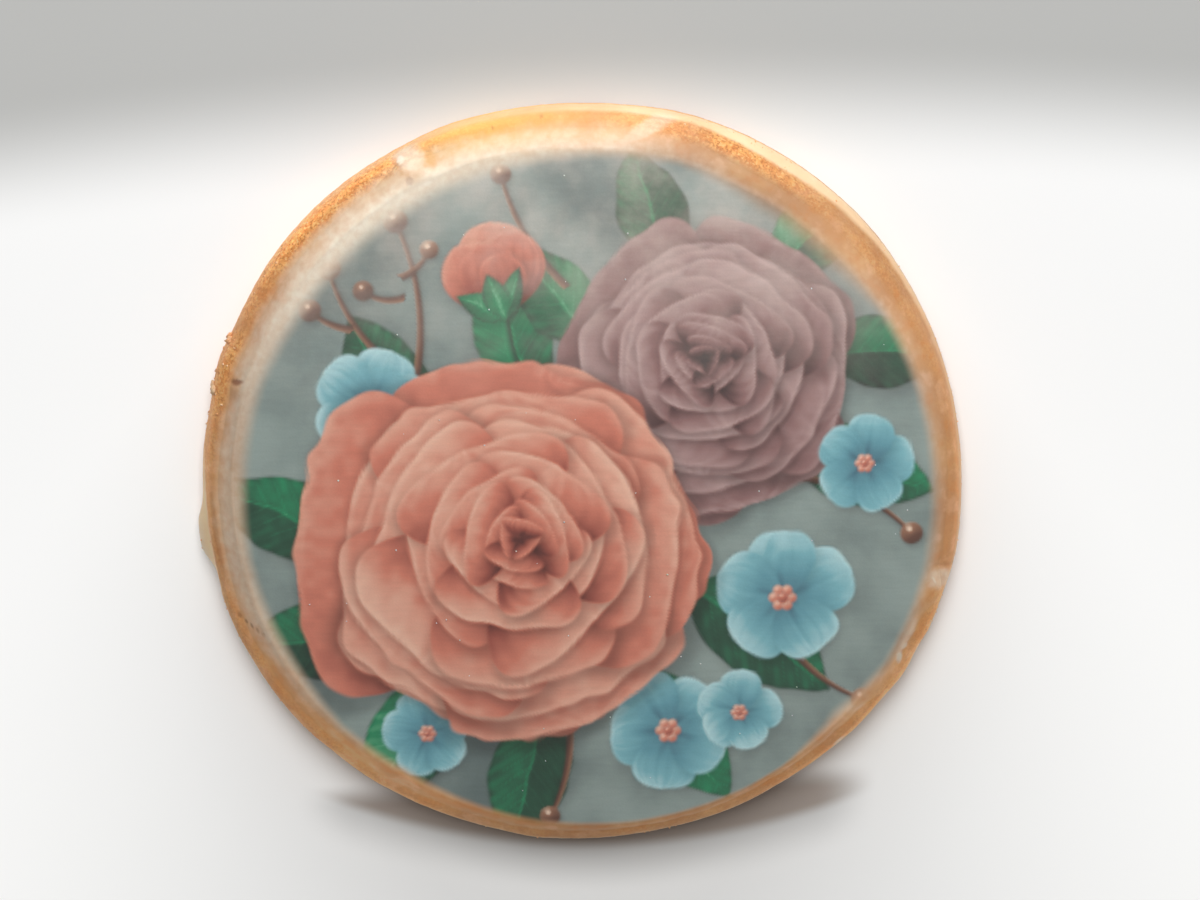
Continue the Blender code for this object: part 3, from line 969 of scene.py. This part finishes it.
def rim_colour(place):
    """Pale dough, browned crust, the white of the icing, then cracks, pits and painted shadows along edges.
    Gives the grain too.
    """
    grain, clumps = place.noise(3400, 2), place.noise(1200)
    patched, mottle = place.noise(140), place.noise(480, 4)
    uneven = patched.rise(0.3, 0.7)
    smooth = uneven.between(paint(168, 120, 80), paint(184, 139, 94))
    smooth = smooth.mix(paint(204, 160, 128), 0.34 * mottle.rise(0.5, 0.68))
    smooth = smooth.mix(paint(176, 116, 66), 0.5 * mottle.rise(0.48, 0.34))
    rough_crust = clumps.rise(0.36, 0.64).between(paint(186, 118, 62), paint(212, 146, 84))
    rough_crust = rough_crust.mix(paint(156, 92, 44), 0.8 * grain.rise(0.52, 0.66))
    rough_crust = rough_crust.mix(paint(232, 176, 122), 0.6 * grain.rise(0.44, 0.34))
    # A painted golden light at the top of the rim.
    smooth = smooth.mix(paint(184, 140, 74), place.painted("golden"))
    crust = smooth.mix(rough_crust, place.painted("open_grain") * (patched + 0.5).rise(0.6, 1.1))
    # Lighter or darker round the rim: baked tone and painted light and shade.
    crust = crust.scaled(place.painted("baked_light"))
    dough = uneven.between(paint(196, 164, 128), paint(206, 178, 144))
    # The pale wall, lighter or darker by painted light and shade.
    colour = dough.scaled(place.painted("pale_light")).mix(crust, place.painted("browned"))
    icing = clumps.rise(0.25, 0.75).between(paint(193, 177, 158), paint(204, 191, 174))
    white = place.painted("white")
    white = white + (clumps + mottle - 1) * (white * (1 - white) * 0.9)
    # Painted light and shade on the icing next to the print.
    colour = colour.mix(icing, white).scaled(place.painted("inner_light"))
    # Cracks, pits and painted shadows along edges.
    return colour.mix(paint(112, 62, 38), place.painted("dark")), grain


def rim_roughness(place):
    """The whiter it is, the smoother."""
    return 0.6 - 0.2 * place.painted("white")


def rim_finish(name):
    """Crust and icing."""
    material, place, shader = new_finish(name, **SOFT_FOOD)
    colour, grain = rim_colour(place)
    feed(shader, Base_Color=colour, Roughness=rim_roughness(place), Normal=grain.bump(0.4, 0.00005))
    return material


def printed_icing():
    """Inks on a mottled ground, with a painted whitish sheen towards the top, fading into the icing at the
    edge.
    """
    material, place, shader = new_finish("printed_icing", **SOFT_FOOD)
    blots, wisps, grain = place.noise(70, 4), place.noise(170, 4), place.noise(5200, 1)
    drawn_out = place.add("VectorMath", {"operation": "MULTIPLY"}, {0: place, 1: (0.12, 1, 1)})
    lines = drawn_out.noise(2600, 1)
    dark_ground, light_ground = paint(90, 104, 102, TOP_LIGHT), paint(134, 147, 142, TOP_LIGHT)
    ground = blots.rise(0.32, 0.68).between(dark_ground, light_ground)
    colour = ground.scaled(1 - sum(place.painted(ink) for ink in INKS))
    for ink, stops in INKS.items():
        tones = [(at, paint(*tone, TOP_LIGHT)) for at, tone in stops]
        inked = place.add("ValToRGB", {"stops": tones}, {"Fac": place.painted(ink + "_tone")})
        colour = colour.plus(inked.scaled(place.painted(ink)))
    colour = colour.scaled(1 - 0.6 * place.painted("shadow"))
    # A painted sheen: whiter towards the top of the print, where the light falls, in wisps.
    painted_sheen = place.axis(1).rise(0.004, 0.036) * (0.12 + 0.42 * wisps.rise(0.3, 0.75)) + 0.03
    colour = colour.mix(paint(196, 184, 174, TOP_LIGHT), painted_sheen)
    colour = colour.scaled(0.9 + 0.1 * grain + 0.1 * lines)
    printed = place.painted("printed").rise(0, 1)
    feed(
        shader,
        Base_Color=rim_colour(place)[0].mix(colour, printed),
        Roughness=rim_roughness(place) * (1 - printed) + (0.36 + 0.16 * wisps) * printed,
        Normal=(grain + blots).bump(0.25, 0.00004),
    )
    return material


def sugar():
    """Clear white sugar with a wet shine."""
    material, place, shader = new_finish(
        "sugar", Specular_IOR_Level=0.7, Subsurface_Weight=0.3, Subsurface_Scale=0.0003
    )
    cloudy = place.noise(6000, 1)
    colour = cloudy.between((0.8, 0.8, 0.78, 1), (0.95, 0.95, 0.95, 1))
    feed(shader, Base_Color=colour, Roughness=0.12 + 0.2 * cloudy)
    return material


def crumbs():
    """Crumbs of the crust, some browned and some pale."""
    material, place, shader = new_finish("loose_crumbs", Specular_IOR_Level=0.3)
    each, grain = place.noise(900, 1), place.noise(7000, 2)
    shade = each.rise(0.4, 0.6).between(paint(196, 146, 104), paint(208, 172, 138))
    shade = shade.mix(paint(180, 128, 86), 0.4 * grain.rise(0.5, 0.7))
    feed(shader, Base_Color=shade, Roughness=0.7 + 0.2 * grain, Normal=grain.bump(0.5, 0.00003))
    return material


# ---- The pieces. ----

ROUND = np.linspace(0, 360, ROUND_STEPS, endpoint=False)


def make_biscuit():
    """The whole biscuit: fine rings from under the icing's edge down to the foot, and coarse ones below."""
    skin_r, skin_z, _, _ = skin(np.arange(FLAT_RADIUS + 0.0004, WALL_START, SKIN_STEP))
    wall_z = np.arange(BISCUIT_HEIGHT - SHOULDER_DROP, FOOT_HEIGHT, -WALL_STEP)
    wall_r = np.full(len(wall_z), COOKIE_RADIUS)
    foot_turn = np.linspace(0, math.pi / 2, CURVE_RINGS)
    foot_r = COOKIE_RADIUS - FOOT_WIDTH * (1 - np.cos(foot_turn))
    foot_z = FOOT_HEIGHT * (1 - np.sin(foot_turn))
    inner_r = np.linspace(INNERMOST, FLAT_RADIUS, FLAT_RINGS)
    under_r = np.linspace(COOKIE_RADIUS - FOOT_WIDTH, 0, UNDER_RINGS)[1:-1]
    radius = np.concatenate((inner_r, skin_r, wall_r, foot_r, under_r))
    flat_z, under_z = np.full(FLAT_RINGS, BISCUIT_HEIGHT), np.zeros(len(under_r))
    height = np.concatenate((flat_z, skin_z, wall_z, foot_z, under_z))
    grid = bake(from_polar(radius[:, None], ROUND[None, :], np.repeat(height[:, None], ROUND_STEPS, axis=1)))
    paints = rim_paint(grid)
    on_side = (past(height, *RELIEF_FOOT) * past(radius, STEADY_RADIUS, RELIEF_RISE))[:, None]
    grained = 0.25 + 0.75 * paints["open_grain"]
    deep, wide = CRUST_PITS
    relief = grained * (swells(grid, CRUST_GRAIN, 11) - deep * pits(grid, wide, 51))
    relief = relief + swells(grid, CRUST_SWELLS, 31)
    relief = relief + mark_relief(grid) * (height > MARKS_FROM)[:, None]
    return ringed_shape(grid + surface_normals(grid) * (relief * on_side)[..., None], paints)


def margin_share(flat):
    """How far points lie from the sheet's edge to the icing's, as a share, and at what angle."""
    share = np.zeros(len(flat))
    for _ in range(12):
        radius, angle = polar(flat - np.multiply.outer(1 - share, (*SHEET_CENTRE, 0)))
        share = np.clip((radius - ICING_START) / (icing_edge(angle) - ICING_START), 0, 1)
    return share, angle


def icing_waves(points, share):
    """How far the icing stands proud of its rule, from nothing where the printed sheet ends."""
    return (mark_relief(points) + swells(points, ICING_SWELLS, 91)) * ease(share / 0.1)


def make_icing():
    """The poured icing: a full layer, lower where the printed sheet lies, that thins out to nothing."""
    angle = ROUND[None, :]
    down = NOSE_LENGTH * np.sin(np.linspace(0, math.pi / 2, CURVE_RINGS)[1:])
    shares = np.concatenate((np.linspace(0, NOSE_START, MARGIN_RINGS), NOSE_START + down))
    q = shares[:, None]
    ring = from_polar(ICING_START * (1 - q) + icing_edge(angle) * q, angle, icing_depth(q, angle))
    ring[..., :2] += np.multiply.outer(1 - q, SHEET_CENTRE)
    bed_r = np.array([[INNERMOST], [0.02], [ICING_START]])
    bed = from_polar(bed_r, angle, np.full((3, ROUND_STEPS), ICING_TOP - BED_DEPTH))
    bed[..., :2] += SHEET_CENTRE
    below = np.concatenate((ring[-1:], ring[20:21], bed[::-1]))
    below[..., 2] = -ICING_ROOT
    grid = bake(lay_on_skin(np.concatenate((bed, ring, below))))
    paints = rim_paint(grid)
    shares = np.concatenate((np.zeros(len(bed)), shares, np.zeros(len(below))))
    grid[..., 2] += icing_waves(grid, shares[:, None])
    return ringed_shape(grid, paints)


def make_sheet():
    """The printed sheet: a disc of even triangles, a lip that ends below the icing, and an underside."""
    lip = SHEET_RADIUS + SHEET_LIP
    share, angle, faces = disc(SHEET_RINGS)
    steps = 6 * SHEET_RINGS
    fine_r = lip - FINE_LIP * (1 - np.sin(np.linspace(0, math.pi / 2, CURVE_RINGS + 1)[1:]))
    under_r = np.array([lip, SHEET_RADIUS - 0.0002, SHEET_RADIUS - 0.002, 0.0005])
    under_depth = np.array([0.0006, 0.001, 0.00035, 0.00035])
    radius = np.concatenate((share * (lip - FINE_LIP), np.repeat(np.concatenate((fine_r, under_r)), steps)))
    rings = len(fine_r) + len(under_r)
    angle = np.concatenate((angle, np.tile(np.arange(steps) * 360 / steps, rings)))
    wander = swells(from_polar(SHEET_RADIUS, angle, 0 * angle), SHEET_WANDER, 43)
    radius = radius + wander * past(radius, 0.8 * lip, 0.2 * lip)
    flat = from_polar(radius, angle, np.zeros(len(radius)))
    art = flower_print(flat[:, 0] * 1000, flat[:, 1] * 1000)
    flat[:, :2] += SHEET_CENTRE
    beyond, way = margin_share(flat)
    dive = past(radius - wander - SHEET_RADIUS, DIVE_START, DIVE_LENGTH)
    flat[:, 2] = icing_depth(beyond, way) + SHEET_PROUD - DIVE_DEPTH * dive
    flat[-len(under_r) * steps:, 2] -= np.repeat(under_depth, steps)
    points = bake(lay_on_skin(flat))
    paints = rim_paint(points)
    points[:, 2] += icing_waves(points, beyond)
    beyond_sheet = (radius - SHEET_RADIUS) * 1000 + 0.12 * rough(points, 0.003, 81)
    half_gone, fade = by_angle(angle, PRINT_ENDS)
    paints["printed"] = np.clip(0.5 - (beyond_sheet - half_gone) / fade, 0, 1)
    paints.update(art.values())
    grid = np.arange(len(points) - (rings + 1) * steps, len(points)).reshape(rings + 1, steps)
    return points, [*faces, *ring_quads(grid), tuple(grid[-1][::-1].tolist())], paints


def angular_bit(size, seed, corners):
    """A bit of sugar or crumb: a hull of corners thrown on a sphere, as points and triangles."""
    bm = bmesh.new()
    for k in range(corners):
        up = 1 - 2 * (k + 0.5) / corners
        turn = 2.4 * k + 6 * chance(seed, k, 1)
        wide = math.sqrt(1 - up * up)
        far = size * (0.75 + 0.5 * chance(seed, k, 2))
        bm.verts.new((far * wide * math.cos(turn), far * wide * math.sin(turn), far * up * 0.8))
    hull = bmesh.ops.convex_hull(bm, input=bm.verts)
    bmesh.ops.delete(bm, geom=hull["geom_interior"], context="VERTS")
    bm.verts.index_update()
    points = np.array([tuple(vert.co) for vert in bm.verts])
    faces = [tuple(vert.index for vert in face.verts) for face in bm.faces]
    bm.free()
    return points, faces


def joined(bits):
    """One shape of many, each given as points, faces and the place it goes to."""
    points, faces, count = [], [], 0
    for bit_points, bit_faces, place in bits:
        points.append(bit_points + np.asarray(place))
        faces += [tuple(count + corner for corner in face) for face in bit_faces]
        count += len(bit_points)
    return np.concatenate(points), faces


def make_crystals():
    """Tiny angular grains of sugar that lie on the printed sheet and catch the light."""
    spots = [(x / 1000, y / 1000) for x, y in BRIGHT_CRYSTALS]
    for k in range(STREWN_CRYSTALS):
        far, turn = CRYSTAL_SPREAD * math.sqrt(chance(k, 5, 1)), 2 * math.pi * chance(k, 5, 2)
        spots.append((SHEET_CENTRE[0] + far * math.cos(turn), SHEET_CENTRE[1] + far * math.sin(turn)))
    top = bake(lay_on_skin(np.array([(x, y, ICING_TOP) for x, y in spots])))
    bits = []
    for k, place in enumerate(top):
        size = SMALLEST_CRYSTAL + CRYSTAL_RANGE * chance(k, 6, 1)
        bits.append((*angular_bit(size, 300 + k, 9), place + (0, 0, 0.4 * size)))
    return joined(bits)


def make_crumbs():
    """Crumbs that cling to the browned edge and the wall."""
    bits = []
    for row, (at, wide, count, low, high, largest) in enumerate(CRUMB_PATCHES):
        for k in range(count):
            angle = at + wide * (2 * chance(row, k, 11) - 1)
            height = (low + (high - low) * chance(row, k, 12)) / 1000
            drop = np.clip((BISCUIT_HEIGHT - height) / SHOULDER_DROP, 0, 1)
            radius = FLAT_RADIUS + SHOULDER_WIDTH * math.sqrt(1 - (1 - drop) ** 2)
            place = bake(from_polar(np.array([radius]), np.array([angle]), np.array([height])))[0]
            size = (SMALLEST_CRUMB + (largest - SMALLEST_CRUMB) * chance(row, k, 13) ** 2) / 1000
            bits.append((*angular_bit(size, 900 + 100 * row + k, 12), place))
    return joined(bits)


def finish_piece(name, shape, material, node=None):
    """One piece of the cookie and the solid that it stands in for."""
    points, faces, *paints = shape
    piece = add_piece(name, points, faces, material, paints[0].items() if paints else ())
    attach(piece, "root")
    if node:
        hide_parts(node)


finish_piece("baked_biscuit", make_biscuit(), rim_finish("baked_crust"), "biscuit")
finish_piece("poured_icing", make_icing(), rim_finish("white_icing"), "icing")
finish_piece("printed_disc", make_sheet(), printed_icing(), "printed_sheet")
finish_piece("sugar_sparkles", make_crystals(), sugar())
finish_piece("edge_crumbs", make_crumbs(), crumbs())

# ---- Stage, lights and camera. ----


def make_floor():
    """A pale floor that turns darker grey beyond the cookie, with a soft shade at its near side."""
    material, place, shader = new_finish("pale_floor", Roughness=0.6, Specular_IOR_Level=0.2)
    aside, beyond = place.axis(0), place.axis(1)
    apart = aside * aside
    fold = beyond - SHADE_BEND * apart
    low = (beyond - SHADE_SLANT * aside).rise(*SHADE_FAR) * apart.rise(*SHADE_SIDES)
    shaded, hazy = fold.rise(*SHADE_CORE) * low, fold.rise(*SHADE_HAZE) * low
    beyond = beyond + TONE_BEND * apart - TONE_SLANT * aside
    tone = beyond.rise(*FLOOR_TURN).between(FLOOR_NEAR, FLOOR_FURTHER)
    tone = tone.scaled(1 - 0.34 * hazy).mix(SHADE, 0.75 * shaded)
    feed(shader, Base_Color=tone.mix(FAR_GREY, beyond.rise(*FAR_GREY_TURN)))
    corners = [(x * FLOOR_HALF, y * FLOOR_HALF, 0) for x, y in ((-1, -1), (1, -1), (1, 1), (-1, 1))]
    floor = add_piece("floor", corners, [(0, 1, 2, 3)], material)
    return floor


def add_light(name, size, power, place, aim=(0, 0, 0), lit=None):
    """A soft rectangular light. With lit given, it lights those objects alone."""
    light = bpy.data.lights.new(name, "AREA")
    light.shape = "RECTANGLE"
    light.size, light.size_y = size
    light.energy = power
    lamp = put(name, light)
    lamp.location = place
    lamp.rotation_euler = (Vector(place) - Vector(aim)).to_track_quat("Z", "Y").to_euler()
    lamp.visible_camera = False
    if lit:
        group = bpy.data.collections.new(name + "_lights")
        for piece in lit:
            group.objects.link(piece)
        lamp.light_linking.receiver_collection = group


def make_camera():
    """Looks down at the cookie from the photograph's side, and frames it as the photograph does."""
    camera = bpy.data.cameras.new("camera")
    camera.sensor_width = SENSOR_WIDTH
    camera.lens = SENSOR_WIDTH * CAMERA_DISTANCE * PICTURE_SCALE / PICTURE_WIDTH
    camera.clip_start = 0.01
    viewer = put("camera", camera)
    (high, out), (x, y) = heading(CAMERA_TILT), heading(CAMERA_SIDE)
    away = Vector((out * x, out * y, high))
    right = Vector((0, 1, 0)).cross(away).normalized()
    up = away.cross(right)
    aim = Vector(CAMERA_AIM) + right * AIM_RIGHT + up * AIM_UP
    facing = Matrix((right, up, away)).transposed().to_4x4()
    viewer.matrix_world = Matrix.Translation(aim + away * CAMERA_DISTANCE) @ facing
    scene.camera = viewer


floor = make_floor()
cookie = [piece for piece in scene.objects if piece.type == "MESH" and piece is not floor]
add_light("top_strip", (0.16, 0.03), 0.13, (0.01, 0.112, 0.072), lit=cookie)
add_light("overhead", (0.5, 0.5), 0.75, (0.25, 0.05, 0.55), lit=cookie)
add_light("sky", (1.5, 1.5), 1.18, (0, 0, 0.8), lit=cookie)
add_light("floor_light", (0.43, 0.73), 8, (0, 0.5, 0.866), lit=[floor])
add_light("low_floor_light", (2, 0.17), 52, (0, 1.185, 0.188), lit=[floor])
world = bpy.data.worlds.new("studio")
world.use_nodes = True
glow = world.node_tree.nodes["Background"].inputs
glow["Color"].default_value = (1, 1, 1, 1)
glow["Strength"].default_value = 0.2
scene.world = world
scene.view_settings.view_transform = "Standard"
make_camera()
